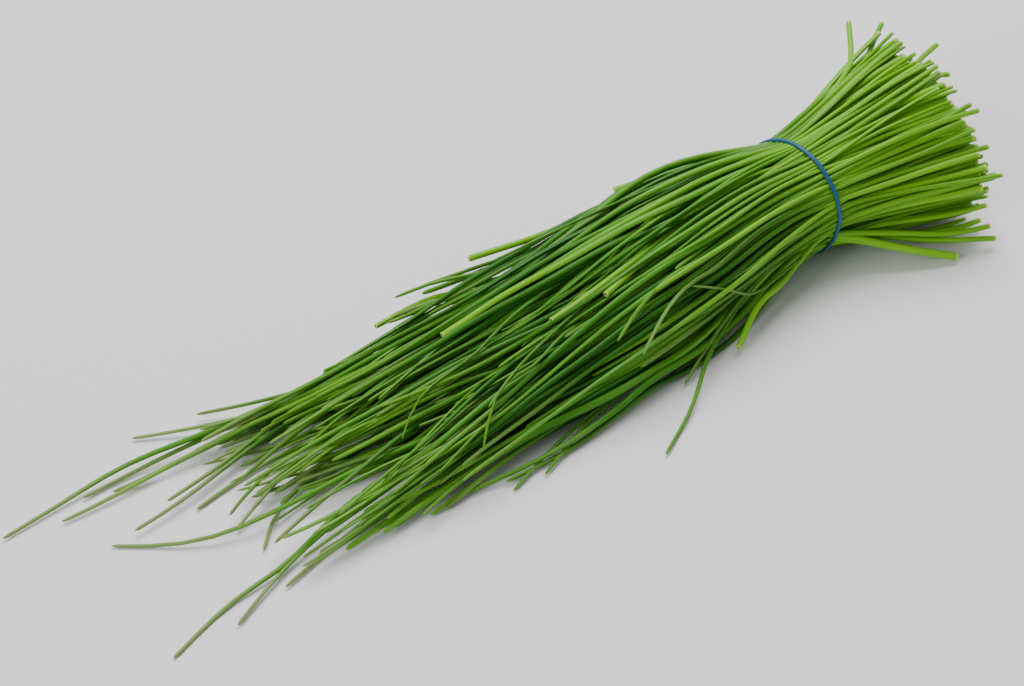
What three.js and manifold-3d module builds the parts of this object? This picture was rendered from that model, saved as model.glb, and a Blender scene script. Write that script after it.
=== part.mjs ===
// A bunch of fresh chives lying on a surface: 240 leaves, held near their cut ends by one thin elastic
// band. Millimetres. The origin is on the surface under the band, +X points to the cut ends, the leaf
// tips lie towards -X, and +Z is up.
//
// Every leaf runs along X, and its place is worked out at a few stations, each a plane across the
// bunch. A seeded rule spreads the leaves over the bunch's section at each station and gathers them in
// clumps and wisps. Then they settle: each is pushed clear of the others, of the surface and of the
// band. The leaves that lie side by side under the band make one lock, fused by a small core between
// them that the band hides.

import * as THREE from "three";
import { ConvexGeometry } from "three/addons/geometries/ConvexGeometry.js";
import { mergeVertices } from "three/addons/utils/BufferGeometryUtils.js";
import Module from "manifold-3d";

// ---- Driving dimensions ----
const LEAF_RADIUS = 1.02; // a chive leaf is about 2 mm thick
const RADIUS_SPREAD = 0.13; // one standard deviation, as a share of the radius
const RADIUS_RANGE = [0.72, 1.3]; // thinnest and thickest leaf, as shares of LEAF_RADIUS
const TAPER_LENGTH = 75; // over which a leaf narrows towards its tip
const TAPER_END = 0.3; // share of its radius that is left just before the tip
const SQUEEZE = 0.95; // share of its radius that a leaf keeps under the band
const LEAF_GAP = 0.1; // kept between leaves

const TIP = { mean: -139, spread: 34, furthest: -204, nearest: -58 }; // X of the tips
// X of the cut ends: the least and the most that a draw counts for, and what is added at the far side
// and at the top of the bunch.
const CUT = { mean: 60.5, spread: 2.6, least: -2, most: 1.4, far: 5, top: -2 };
const BLUNT_SHARE = 0.08; // leaves whose tip was cut off too
const BLUNT_LIMIT = -115; // none of them reaches further than this

const BAND_RADIUS = 21; // outside; the band stands on the surface
const BAND_THICKNESS = 1.1;
const BAND_WIDTH = 1.5; // along the leaves
const BAND_YAW = THREE.MathUtils.degToRad(8); // the band sits slightly askew
const BAND_FLAT = 0.35; // depth of its underside that the bunch's weight presses flat
const BAND_STEPS = 36;
const BAND_GAP = 0.3; // between the band and the leaves
const BAND_MIDDLE = BAND_RADIUS - BAND_FLAT; // its height

const LOCK_COLUMNS = 4; // locks side by side under the band
const LOCK_ROWS = 4; // and one above another
const LEAVES_IN_LOCK = 15;
const LEAF_COUNT = LOCK_COLUMNS * LOCK_ROWS * LEAVES_IN_LOCK;
const LEAF_SIDES = 3;
const CORE_LENGTH = 8; // along X, under the band
const CORE_INSET = 0.94; // the core's outline, as a share of the outline through its leaves' middles
const CORE_GAP = 0.5; // added to a leaf's radius where a neighbouring core is cut clear of it

// Each station: its X, the bunch's section there (middle in Y, half width, underside and top), how far
// the leaves have wandered from their places under the band, as a share of the half width, and how much
// they cling together in clumps and in wisps.
const STATIONS = [
  { x: 82, middle: 2.5, half: 37.5, low: 0, high: 49, wander: 0.4, clump: 0.35, wisp: 0 },
  { x: 40, middle: -0.2, half: 27, low: 0, high: 43, wander: 0.22, clump: 0.15, wisp: 0 },
  { x: 0, middle: 0, half: 19.9, low: 1.6, high: 41.2, wander: 0, clump: 0, wisp: 0 },
  { x: -42, middle: 0.4, half: 22.8, low: 0, high: 38.8, wander: 0.11, clump: 0.05, wisp: 0 },
  { x: -85, middle: -3.5, half: 31.5, low: 0, high: 30, wander: 0.26, clump: 0.2, wisp: 0 },
  { x: -130, middle: -6.5, half: 30, low: 0, high: 21, wander: 0.42, clump: 0.45, wisp: 0.5 },
  { x: -175, middle: -8, half: 26, low: 0, high: 13, wander: 0.56, clump: 0.5, wisp: 0.85 },
  { x: -220, middle: -6, half: 29, low: 0, high: 7, wander: 0.6, clump: 0.5, wisp: 1 },
  { x: -265, middle: -9, half: 27, low: 0, high: 4, wander: 0.65, clump: 0.5, wisp: 1 },
];
const TIE = 2; // the station under the band
const WEAVE_LENGTH = 45; // the leaves weave to and fro over about this length
const WEAVE_SHARE = 0.6;
const CROSSING = { share: 0.16, times: 2 }; // leaves that stray over the others, further than the rest
const CLUMPS = 18;
const CLUMP_RULERS = [0, 6]; // stations at either end, where a leaf joins the clump that is nearest

// The wisps that the longest leaves end in, from the near side to the far side: the share of those
// leaves up to and with this wisp, and its way in X and Y.
const WISP = { start: -150, width: 2.6 }; // leaves that reach further than the start belong to one
const WISPS = [
  { upTo: 0.22, route: [[-130, -32], [-158, -23.5], [-183, -24], [-206, -30.5], [-225, -34.5], [-265, -48]] },
  { upTo: 0.38, route: [[-130, -19], [-155, -16.5], [-182, -13.5], [-200, -12], [-218, -8], [-265, 10]] },
  { upTo: 0.5, route: [[-130, 0], [-165, 5], [-183, 0], [-195, -2], [-208, -7], [-265, -20]] },
  { upTo: 0.68, route: [[-130, 7], [-168, 8.5], [-190, 12.5], [-213, 10.5], [-231, 5.5], [-265, -5]] },
  { upTo: 1.01, route: [[-130, 12], [-158, 16.5], [-175, 20.5], [-198, 24.5], [-215, 27], [-265, 23.5]] },
];

// Leaves that stand out from the bunch. "place" is where each lies under the band, across and up as
// shares of the band's radius. Its route is the points it passes on the way to its tip or its cut end,
// in X, Y and, where it is held up, Z.
const GUIDED = [
  {
    place: [0.72, 0.3],
    route: [[-158.5, 19.5, 12], [-198.5, 25, 6], [-215.5, 27.5, 4], [-234.5, 27.5, 2], [-263.5, 23.5, 1]],
  },
  { place: [0.66, 0.2], route: [[-158.5, 19, 11], [-198.5, 25, 4], [-215.5, 26.5, 2], [-237.5, 26, 1]] },
  { place: [0.7, 0.15], route: [[-158.5, 17, 11], [-198.5, 21, 4], [-229.5, 23, 1]] },
  { place: [0.62, 0.1], route: [[-158.5, 18, 9], [-196.5, 20.5, 3], [-226.5, 18.5, 1], [-245.5, 19.5, 1]] },
  { place: [0.8, -0.1], route: [[-151.5, 24, 9], [-178, 31, 5], [-194, 37, 2]] },
  { place: [0.8, 0.1], route: [[-151.5, 23, 9], [-186, 29, 5], [-214, 40, 1]] },
  { place: [0.4, 0], route: [[-151.5, 15], [-176.5, 17], [-201.5, 12], [-219.5, 9]] },
  { place: [0.35, 0.2], route: [[-151.5, 11], [-176.5, 15], [-209.5, 8], [-232.5, 4]] },
  { place: [0.3, -0.2], route: [[-151.5, 7], [-192.5, 8], [-213.5, 3]] },
  {
    place: [-0.2, 0.1],
    route: [
      [-154.5, -17.5, 12], [-182.5, -14.5, 6], [-200.5, -13.5, 4],
      [-219.5, -10, 2], [-230, -3.5, 1], [-240, 3.5, 1],
    ],
  },
  {
    place: [-0.68, -0.1],
    route: [[-158.5, -23.5, 10], [-183.5, -24.5, 5], [-206, -31, 2], [-224.5, -34.5, 1], [-247, -43, 1]],
  },
  {
    place: [-0.72, -0.36],
    route: [[-158.5, -24, 7], [-183.5, -25.5, 4], [-212.5, -35, 2], [-227, -42.5, 1]],
  },
  { place: [-0.8, -0.2], route: [[-151.5, -27], [-171.5, -27.5], [-209, -38]] },
  { place: [-0.78, -0.5], route: [[-116.5, -31, 7], [-161, -37, 1]] },
  { place: [-0.82, -0.4], route: [[-112.5, -31, 8], [-156, -37, 1]] },
  { place: [-0.7, -0.6], route: [[-76.5, -28, 8], [-109, -33, 4], [-136, -42, 1]] },
  { place: [-0.6, -0.7], route: [[-76.5, -27, 6], [-97.5, -31, 4], [-125, -41.5, 1]] },
  { place: [-0.75, -0.62], route: [[-66, -27, 8], [-82, -30, 6], [-109, -35, 3], [-136, -36, 2]] },
  { place: [-0.86, -0.42], route: [[-66, -27.5, 11], [-97.5, -33.5, 7], [-125, -35, 4], [-150, -34, 2]] },
  { place: [-0.62, -0.76], route: [[-66, -25.5, 5], [-97.5, -32, 3], [-119, -36, 2]] },
  { place: [-0.4, -0.1], route: [[-158.5, -17], [-183.5, -20], [-205, -25.5]] },
  { place: [0.2, -0.1], route: [[-151.5, 7], [-193.5, 1], [-209.5, -9]] },
  { place: [0.05, -0.3], route: [[-151.5, 3], [-187.5, -2], [-208.5, -11]] },
  { place: [-0.15, -0.4], route: [[-151.5, -3], [-181.5, -6], [-196.5, -12], [-206.5, -22]] },
  {
    place: [-0.9, 0],
    route: [[-33.5, -18, 12], [-55.5, -29, 4], [-73.5, -44, 2], [-81.5, -49, 1], [-91.5, -55, 1]],
  },
  { place: [-0.95, 0.15], blunt: true, route: [[-15.5, -18, 13], [-29.5, -24.5, 6], [-46.5, -30.5, 2]] },
  { place: [-0.87, 0.25], route: [[-33.5, -20, 14], [-53.5, -27, 6], [-68.5, -34, 2]] },
  {
    place: [-0.85, -0.3],
    thin: true,
    route: [[-16.5, -19, 9], [-34.5, -24, 13], [-45.5, -26, 21], [-59.5, -24, 28]],
  },
  {
    place: [-0.3, 0.5],
    thin: true,
    route: [[-91.5, -13, 32], [-113.5, -23, 25], [-129.5, -25, 22], [-141.5, -35, 14]],
  },
  {
    place: [0, 0.5],
    thin: true,
    route: [[-101.5, -4, 31], [-133.5, -10, 23], [-147.5, -12, 20], [-159.5, -21, 17]],
  },
  { place: [-0.8, 0.45], route: [[-30.5, -18, 31], [-49.5, -22, 29], [-65.5, -25, 28], [-84.5, -34, 21]] },
  { place: [-0.7, 0.6], route: [[-36.5, -17, 33], [-56.5, -19, 32], [-76.5, -23, 29], [-90.5, -29, 26]] },
  { place: [0.8, 0.5], blunt: true, route: [[-31.5, 22, 30], [-49, 29, 27]] },
  { place: [0.92, 0.15], blunt: true, route: [[-86.5, 28, 23], [-101.5, 31, 22]] },
  { place: [0.85, -0.2], route: [[-86.5, 29, 18], [-118.5, 31, 19]] },
  { place: [0.7, -0.4], blunt: true, route: [[-101.5, 24.5, 21], [-118, 27, 18], [-137, 28, 15]] },
  { place: [0.84, 0.32], route: [[-93, 26.5, 24], [-110, 28, 22], [-127.5, 32, 18]] },
  { place: [0.76, 0.12], route: [[-93, 23, 24], [-115, 21.5, 21], [-134.5, 23, 16]] },
  { place: [0.66, -0.16], route: [[-93, 23, 20], [-114, 22, 18], [-139.5, 23, 13]] },
  { place: [-0.35, 0.85], blunt: true, route: [[-43.5, -6, 38], [-84.5, -15, 31]] },
  { place: [-0.3, 0.7], blunt: true, route: [[-43.5, -5, 36], [-86.5, -11, 30], [-102.5, -13, 28]] },
  { place: [0.15, 0.8], blunt: true, route: [[-86.5, 7, 30], [-128.5, 5, 23]] },
  { place: [-0.93, -0.2], route: [[18.5, -26, 16], [32.5, -40.5, 10]] },
  { place: [-0.9, -0.35], route: [[18.5, -24, 12], [35.5, -38.5, 7]] },
  { place: [-0.8, -0.5], route: [[18.5, -22, 9], [51, -37, 9]] },
  { place: [-0.88, -0.05], route: [[18.5, -23, 20], [52, -38, 12]] },
  { place: [0.6, 0.75], route: [[38.5, 22, 40], [56.5, 42, 42]] },
  { place: [0.85, 0.4], route: [[38.5, 19, 36], [68.5, 40, 38]] },
  { place: [0.5, 0.5], route: [[48.5, 12, 36], [79.5, 24, 34]] },
  { place: [0.4, 0.7], route: [[48.5, 12, 38], [67.5, 5, 37]] },
];
const GUIDED_RADIUS = 1.02;
const THIN_RADIUS = 0.7;
const FIRM_LENGTH = 45; // a guided leaf is held firmly to its route over this length from its end
const LOOSE_HOLD = 0.3; // and this much before that

// How the leaves settle.
const SETTLE = {
  rounds: 1200,
  pull: 0.04, // towards the place that the section gives, fading out
  pullUntil: 0.6, // share of the rounds
  weight: 0.01, // mm each round
  weightUntil: 0.8,
  stiffness: 0.1, // a leaf's own bend is evened out by this share
  softAfter: 0.6, // then by a tenth of it
  limpAfter: 0.75, // and then not at all, and guided leaves are let go
  hold: 0.25, // of a guided leaf to its route
  push: 1.7, // over-relaxed, because a leaf is pushed from several sides
  reach: 1.2, // pairs of leaves nearer than this are looked at each round
  lookAgain: 10, // rounds between two searches for such pairs
};

const LEAF_COLOURS = [0x4c7420, 0x5a8420, 0x6a9418, 0x3f6a24];
const BAND_COLOUR = 0x1c699b;

// ---- Seeded draws ----
function seeded(seed) {
  let state = seed;
  return () => {
    state = (state * 1664525 + 1013904223) % 4294967296;
    return state / 4294967296;
  };
}

const draw = seeded(7);
const spread = () => (draw() + draw() + draw() + draw() - 2) * Math.sqrt(3); // standard deviation 1
const clamp = THREE.MathUtils.clamp;
const lerp = THREE.MathUtils.lerp;

/** A value that falls outside a range, folded back into it like a strip of paper. */
function foldBack(value, least, most) {
  if (value < least) return 2 * least - value;
  return value > most ? 2 * most - value : value;
}

// ---- Where each leaf aims to lie ----
/** One of a number of places spread evenly over a disc, like the seeds of a sunflower. */
function sunflower(index, count) {
  const radius = Math.sqrt((index + 0.5) / count);
  const angle = index * Math.PI * (3 - Math.sqrt(5));
  return [radius * Math.cos(angle), radius * Math.sin(angle)];
}

/** One leaf with its size, its ends, and its share of the bunch's section at each station. */
function sproutLeaf(index) {
  const place = sunflower(index, LEAF_COUNT);
  const radius = LEAF_RADIUS * clamp(1 + RADIUS_SPREAD * spread(), ...RADIUS_RANGE);
  const tip = foldBack(TIP.mean + TIP.spread * spread(), TIP.furthest, TIP.nearest);
  const cut = CUT.mean + CUT.spread * clamp(spread(), CUT.least, CUT.most);
  const blunt = draw() < BLUNT_SHARE && tip > BLUNT_LIMIT;
  const drift = [spread(), spread()];
  const weave = [spread(), spread()];
  const flare = [spread(), spread()];
  const times = draw() < CROSSING.share ? CROSSING.times : 1;
  const phase = 2 * Math.PI * draw();
  const shares = STATIONS.map(({ x, wander }) => {
    const wave = WEAVE_SHARE * Math.sin(x / WEAVE_LENGTH + phase);
    const share = place.map((from, axis) => {
      const way = x > 0 ? flare[axis] : drift[axis] + weave[axis] * wave;
      return from + WEAVE_SHARE * wander * times * way;
    });
    const out = Math.max(1, Math.hypot(...share) / 0.985);
    return share.map((value) => value / out);
  });
  return { place, radius, tip, cut, blunt, shares, hold: STATIONS.map(() => 0) };
}

/** Leaves that go much the same way cling together, on either side of the band. */
function gatherInClumps(leaves) {
  const clumps = Array.from({ length: CLUMPS }, (_, index) => sunflower(index, CLUMPS));
  for (const { shares } of leaves) {
    const clumpsOfLeaf = CLUMP_RULERS.map((ruler) => {
      const away = (clump) => Math.hypot(shares[ruler][0] - clump[0], shares[ruler][1] - clump[1]);
      return clumps.reduce((a, b) => (away(b) < away(a) ? b : a));
    });
    STATIONS.forEach((station, k) => {
      const clump = clumpsOfLeaf[k < TIE ? 0 : 1];
      shares[k] = shares[k].map((share, axis) => lerp(share, clump[axis], station.clump));
    });
  }
}

/** The longest leaves end in wisps. */
function gatherInWisps(leaves) {
  const ruler = CLUMP_RULERS[1];
  const long = leaves.filter((leaf) => leaf.tip < WISP.start);
  long.sort((a, b) => a.shares[ruler][0] - b.shares[ruler][0]);
  long.forEach((leaf, rank) => {
    leaf.wisp = WISPS.find((wisp) => rank / long.length < wisp.upTo);
    leaf.aside = WISP.width * spread();
  });
}

/** The leaf that lies nearest to a place under the band and isn't guided yet. */
function leafNear(leaves, [across, up]) {
  const away = ({ place }) => (place[0] - across) ** 2 + (place[1] - up) ** 2;
  return leaves.filter((leaf) => !leaf.route).reduce((a, b) => (away(b) < away(a) ? b : a));
}

/** Value of a route's given axis at x, carried straight on past its ends. */
function routeAt(route, x, axis) {
  const last = route.length - 1;
  const reached = route.findIndex((point) => Math.abs(point[0]) >= Math.abs(x));
  const i = reached < 0 ? last : Math.max(reached, 1);
  const [a, b] = [route[i - 1], route[i]];
  return lerp(a[axis], b[axis], (x - a[0]) / (b[0] - a[0]));
}

/** Where a leaf aims to lie: its share of each section, drawn to its wisp, or its route. */
function aimLeaf(leaf) {
  leaf.y = [];
  leaf.z = [];
  STATIONS.forEach(({ x, middle, half, low, high, wisp }, k) => {
    const [across, up] = leaf.shares[k];
    leaf.y[k] = middle + (half - leaf.radius) * across;
    leaf.z[k] = (low + high) / 2 + ((high - low) / 2 - leaf.radius) * up;
    if (leaf.wisp) leaf.y[k] = lerp(leaf.y[k], routeAt(leaf.wisp.route, x, 1) + leaf.aside, wisp);
    const route = leaf.route;
    if (!route || x * route[0][0] <= 0 || Math.abs(x) < Math.abs(route[0][0]) - 1) return;
    leaf.y[k] = routeAt(route, x, 1);
    if (route[0].length > 2) leaf.z[k] = Math.max(leaf.radius, routeAt(route, x, 2));
    const firm = x < 0 ? x - leaf.tip < FIRM_LENGTH || x < -150 : true;
    leaf.hold[k] = firm ? 1 : LOOSE_HOLD;
  });
  leaf.aimY = [...leaf.y];
  leaf.aimZ = [...leaf.z];
}

function sproutLeaves() {
  const leaves = Array.from({ length: LEAF_COUNT }, (_, index) => sproutLeaf(index));
  gatherInClumps(leaves);
  for (const leaf of leaves) leaf.cut += CUT.far * leaf.shares[0][0] + CUT.top * leaf.shares[0][1];
  gatherInWisps(leaves);
  for (const { place, route, blunt, thin } of GUIDED) {
    const leaf = leafNear(leaves, place);
    const end = route[route.length - 1][0];
    leaf.route = route;
    leaf.blunt = Boolean(blunt);
    if (end < 0) leaf.tip = end;
    else leaf.cut = end;
    leaf.radius = thin ? THIN_RADIUS : GUIDED_RADIUS;
  }
  leaves.forEach(aimLeaf);
  return leaves;
}

// ---- How the leaves settle ----
/** A leaf's radius at x. */
function radiusAt(leaf, x) {
  if (x === STATIONS[TIE].x) return leaf.radius * SQUEEZE;
  if (leaf.blunt) return leaf.radius;
  const drawnIn = TAPER_END + ((1 - TAPER_END) * (x - leaf.tip)) / TAPER_LENGTH;
  return leaf.radius * clamp(drawnIn, TAPER_END, 1);
}

/** What stays the same while a leaf settles: its radius, and which share of each stretch it fills. */
function measureLeaf(leaf) {
  leaf.radii = STATIONS.map(({ x }) => radiusAt(leaf, x));
  leaf.from = [];
  leaf.to = [];
  leaf.slant = [];
  for (let k = 0; k + 1 < STATIONS.length; k++) {
    const length = STATIONS[k].x - STATIONS[k + 1].x;
    leaf.from[k] = clamp((STATIONS[k].x - leaf.cut) / length, 0, 1);
    leaf.to[k] = clamp((STATIONS[k].x - leaf.tip) / length, 0, 1);
  }
}

/** How two leaves meet between stations k and k + 1, or null where one of them isn't there. */
function meeting(a, b, k) {
  const from = Math.max(a.from[k], b.from[k]);
  const to = Math.min(a.to[k], b.to[k]);
  if (to <= from) return null;
  const dy = a.y[k] - b.y[k];
  const dz = a.z[k] - b.z[k];
  const ey = a.y[k + 1] - b.y[k + 1] - dy;
  const ez = a.z[k + 1] - b.z[k + 1] - dz;
  const t = clamp(-(dy * ey + dz * ez) / (ey * ey + ez * ez + 1e-9), from, to);
  const y = dy + ey * t;
  const z = dz + ez * t;
  const apart = Math.hypot(y, z) + 1e-9;
  const room =
    lerp(a.radii[k], a.radii[k + 1], t) * a.slant[k] + lerp(b.radii[k], b.radii[k + 1], t) * b.slant[k];
  return { t, y: y / apart, z: z / apart, overlap: room + LEAF_GAP - apart };
}

/** A leaf that slants across a section takes up more room in it. */
function measureSlant(leaf) {
  for (let k = 0; k + 1 < STATIONS.length; k++) {
    const length = STATIONS[k].x - STATIONS[k + 1].x;
    const across = Math.hypot(leaf.y[k + 1] - leaf.y[k], leaf.z[k + 1] - leaf.z[k]);
    leaf.slant[k] = Math.hypot(1, across / length);
  }
}

function nearbyPairs(leaves, k) {
  const pairs = [];
  for (let i = 0; i < leaves.length; i++) {
    for (let j = i + 1; j < leaves.length; j++) {
      const met = meeting(leaves[i], leaves[j], k);
      if (met && met.overlap > -SETTLE.reach) pairs.push([leaves[i], leaves[j]]);
    }
  }
  return pairs;
}

/** Pulls a leaf to its aim and down, evens out its bends, and holds it to its route. */
function relaxLeaf(leaf, progress) {
  const last = STATIONS.length - 1;
  const pull = SETTLE.pull * Math.max(0, 1 - progress / SETTLE.pullUntil);
  const weight = progress < SETTLE.weightUntil ? SETTLE.weight : 0;
  const limp = progress >= SETTLE.limpAfter;
  const stiffness = limp ? 0 : SETTLE.stiffness * (progress < SETTLE.softAfter ? 1 : 0.1);
  for (const [way, aim] of [[leaf.y, leaf.aimY], [leaf.z, leaf.aimZ]]) {
    for (let k = 0; k <= last; k++) way[k] += pull * (aim[k] - way[k]);
    if (way === leaf.z) for (let k = 0; k <= last; k++) if (k !== TIE) way[k] -= weight;
    const was = [...way];
    for (let k = 1; k < last; k++) {
      const even =
        k === 1 || k === last - 1
          ? (was[k - 1] + 2 * was[k] + was[k + 1]) / 4
          : (4 * (was[k - 1] + was[k + 1]) - was[k - 2] - was[k + 2]) / 6;
      way[k] += stiffness * (even - was[k]);
    }
  }
  if (limp) return;
  for (let k = 0; k <= last; k++) {
    leaf.y[k] += SETTLE.hold * leaf.hold[k] * (leaf.aimY[k] - leaf.y[k]);
    if (leaf.route?.[0].length > 2) leaf.z[k] += SETTLE.hold * leaf.hold[k] * (leaf.aimZ[k] - leaf.z[k]);
  }
}

/** Adds one leaf's push at a meeting, shared between the two stations by how near each is. */
function addPush(leaf, k, met, amount) {
  const near = 1 - met.t;
  const scale = amount / (near * near + met.t * met.t);
  for (const [station, share] of [[k, near], [k + 1, met.t]]) {
    leaf.pushY[station] += met.y * scale * share;
    leaf.pushZ[station] += met.z * scale * share;
    leaf.pushes[station] += share;
  }
}

/** Keeps a leaf inside the band, where it passes the band's own plane. */
function holdInBand(leaf) {
  const x = -Math.tan(BAND_YAW) * leaf.y[TIE];
  const other = x > 0 ? TIE - 1 : TIE + 1;
  const share = x / STATIONS[other].x;
  const across = lerp(leaf.y[TIE], leaf.y[other], share) / Math.cos(BAND_YAW);
  const up = lerp(leaf.z[TIE], leaf.z[other], share) - BAND_MIDDLE;
  const slant = Math.max(leaf.slant[TIE - 1], leaf.slant[TIE]);
  const reach = leaf.radius * SQUEEZE * slant + (BAND_WIDTH / 2) * Math.sqrt(slant ** 2 - 1);
  const room = BAND_RADIUS - BAND_THICKNESS - BAND_GAP - reach;
  const back = Math.min(0, room / Math.hypot(across, up) - 1);
  leaf.y[TIE] += back * across * Math.cos(BAND_YAW);
  leaf.z[TIE] += back * up;
}

function settle(leaves) {
  leaves.forEach(measureLeaf);
  let pairs = [];
  for (let round = 0; round < SETTLE.rounds; round++) {
    const progress = round / SETTLE.rounds;
    for (const leaf of leaves) {
      relaxLeaf(leaf, progress);
      measureSlant(leaf);
      leaf.pushY = STATIONS.map(() => 0);
      leaf.pushZ = STATIONS.map(() => 0);
      leaf.pushes = STATIONS.map(() => 0);
    }
    for (let k = 0; k + 1 < STATIONS.length; k++) {
      if (round % SETTLE.lookAgain === 0) pairs[k] = nearbyPairs(leaves, k);
      for (const [a, b] of pairs[k]) {
        const met = meeting(a, b, k);
        if (met.overlap <= 0) continue;
        addPush(a, k, met, met.overlap / 2);
        addPush(b, k, { ...met, y: -met.y, z: -met.z }, met.overlap / 2);
      }
    }
    for (const leaf of leaves) {
      for (let k = 0; k < STATIONS.length; k++) {
        const share = SETTLE.push / Math.max(1, leaf.pushes[k]);
        leaf.y[k] += share * leaf.pushY[k];
        leaf.z[k] = Math.max(leaf.radii[k], leaf.z[k] + share * leaf.pushZ[k]);
      }
      holdInBand(leaf);
    }
  }
}

// ---- Solids ----
const wasm = await Module();
wasm.setup();

function solidOf(geometry) {
  geometry.deleteAttribute("normal");
  geometry.deleteAttribute("uv");
  const merged = mergeVertices(geometry);
  const vertProperties = new Float32Array(merged.attributes.position.array);
  const triVerts = new Uint32Array(merged.index.array);
  return new wasm.Manifold(new wasm.Mesh({ numProp: 3, vertProperties, triVerts }));
}

function geometryOf(solid) {
  const { vertProperties, triVerts } = solid.getMesh();
  const geometry = new THREE.BufferGeometry();
  geometry.setAttribute("position", new THREE.BufferAttribute(vertProperties, 3));
  geometry.setIndex(new THREE.BufferAttribute(triVerts, 1));
  return geometry;
}

/** The middle of a leaf at x. */
function pointAt(leaf, x) {
  let k = 0;
  while (k + 2 < STATIONS.length && x < STATIONS[k + 1].x) k++;
  const share = (STATIONS[k].x - x) / (STATIONS[k].x - STATIONS[k + 1].x);
  const y = lerp(leaf.y[k], leaf.y[k + 1], share);
  const z = lerp(leaf.z[k], leaf.z[k + 1], share);
  return new THREE.Vector3(x, y, z);
}

/** A few-sided tube along points, each with a radius; a last radius of 0 ends it in a point. */
function tubeSolid(points, radii) {
  const steps = points.length - 1;
  const pointed = radii[steps] === 0;
  const geometry = new THREE.CylinderGeometry(pointed ? 0 : 1, 1, 1, LEAF_SIDES, steps);
  const position = geometry.attributes.position;
  const frames = points.map((point, i) => {
    const before = points[Math.max(i - 1, 0)];
    const after = points[Math.min(i + 1, steps)];
    const ahead = after.clone().sub(before).normalize();
    const side = new THREE.Vector3(0, 0, 1).cross(ahead).normalize();
    return { side, up: ahead.clone().cross(side) };
  });
  const vertex = new THREE.Vector3();
  for (let i = 0; i < position.count; i++) {
    vertex.fromBufferAttribute(position, i);
    const step = Math.round((0.5 + vertex.y) * steps);
    const onAxis = Math.hypot(vertex.x, vertex.z) < 1e-6;
    const angle = Math.atan2(vertex.x, vertex.z);
    const radius = onAxis ? 0 : radii[step];
    const { side, up } = frames[step];
    vertex
      .copy(points[step])
      .addScaledVector(side, radius * Math.sin(angle))
      .addScaledVector(up, -radius * Math.cos(angle));
    position.setXYZ(i, vertex.x, vertex.y, vertex.z);
  }
  return solidOf(geometry);
}

function leafSolid(leaf) {
  const between = STATIONS.map(({ x }) => x).filter((x) => x < leaf.cut - 2 && x > leaf.tip + 2);
  const places = [leaf.cut, ...between, leaf.tip];
  const radii = places.map((x) => radiusAt(leaf, x));
  if (!leaf.blunt) radii[radii.length - 1] = 0;
  return tubeSolid(places.map((x) => pointAt(leaf, x)), radii);
}

/** A leaf's short stretch under the band, thicker than the leaf, to cut a neighbouring core clear. */
function thickStretch(leaf) {
  const places = [CORE_LENGTH, 0, -CORE_LENGTH];
  const radius = leaf.radius + CORE_GAP;
  return tubeSolid(places.map((x) => pointAt(leaf, x)), [radius, radius, radius]);
}

/** The core that joins a lock's leaves: it fills the space between them under the band. */
function coreSolid(lock, others) {
  const points = [];
  for (const x of [CORE_LENGTH / 2, -CORE_LENGTH / 2]) {
    const middles = lock.map((leaf) => pointAt(leaf, x));
    const middle = middles.reduce((sum, point) => sum.add(point), new THREE.Vector3());
    middle.divideScalar(middles.length);
    for (const point of middles) points.push(point.clone().lerp(middle, 1 - CORE_INSET).setX(x));
  }
  const hull = solidOf(new ConvexGeometry(points));
  return others.reduce((core, leaf) => core.subtract(thickStretch(leaf)), hull);
}

/** The leaves in columns side by side under the band, and each column in rows. */
function sortIntoLocks(leaves) {
  const split = (group, parts, way) => {
    const sorted = [...group].sort((a, b) => a[way][TIE] - b[way][TIE]);
    const size = group.length / parts;
    return Array.from({ length: parts }, (_, i) => sorted.slice(i * size, (i + 1) * size));
  };
  return split(leaves, LOCK_COLUMNS, "y").flatMap((column) => split(column, LOCK_ROWS, "z"));
}

function lockSolid(lock, leaves) {
  const others = leaves.filter((leaf) => !lock.includes(leaf));
  return lock.map(leafSolid).reduce((solid, leaf) => solid.add(leaf), coreSolid(lock, others));
}

/** The elastic band: a flat ring round the leaves, pressed flat where it stands on the surface. */
function bandSolid() {
  const outer = BAND_RADIUS;
  const inner = BAND_RADIUS - BAND_THICKNESS;
  const half = BAND_WIDTH / 2;
  const profile = [[inner, -half], [outer, -half], [outer, half], [inner, half], [inner, -half]];
  const ring = new THREE.LatheGeometry(profile.map(([r, h]) => new THREE.Vector2(r, h)), BAND_STEPS);
  ring.rotateZ(-Math.PI / 2);
  ring.rotateZ(BAND_YAW);
  ring.translate(0, 0, BAND_MIDDLE);
  const room = new THREE.BoxGeometry(60, 60, 60).translate(0, 0, 30);
  return solidOf(ring).intersect(solidOf(room));
}

// ---- The bunch ----
function meshOf(name, solid, colour, roughness) {
  const material = new THREE.MeshStandardMaterial({ color: colour, roughness, metalness: 0 });
  const mesh = new THREE.Mesh(geometryOf(solid), material);
  mesh.name = name;
  return mesh;
}

function chiveBunch() {
  const bunch = new THREE.Group();
  const leaves = sproutLeaves();
  settle(leaves);
  sortIntoLocks(leaves).forEach((lock, i) => {
    const colour = LEAF_COLOURS[i % LEAF_COLOURS.length];
    bunch.add(meshOf(`leaves_${String(i + 1).padStart(2, "0")}`, lockSolid(lock, leaves), colour, 0.5));
  });
  bunch.add(meshOf("elastic_band", bandSolid(), BAND_COLOUR, 0.7));
  return bunch;
}

export default chiveBunch();
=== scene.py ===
import math

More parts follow.
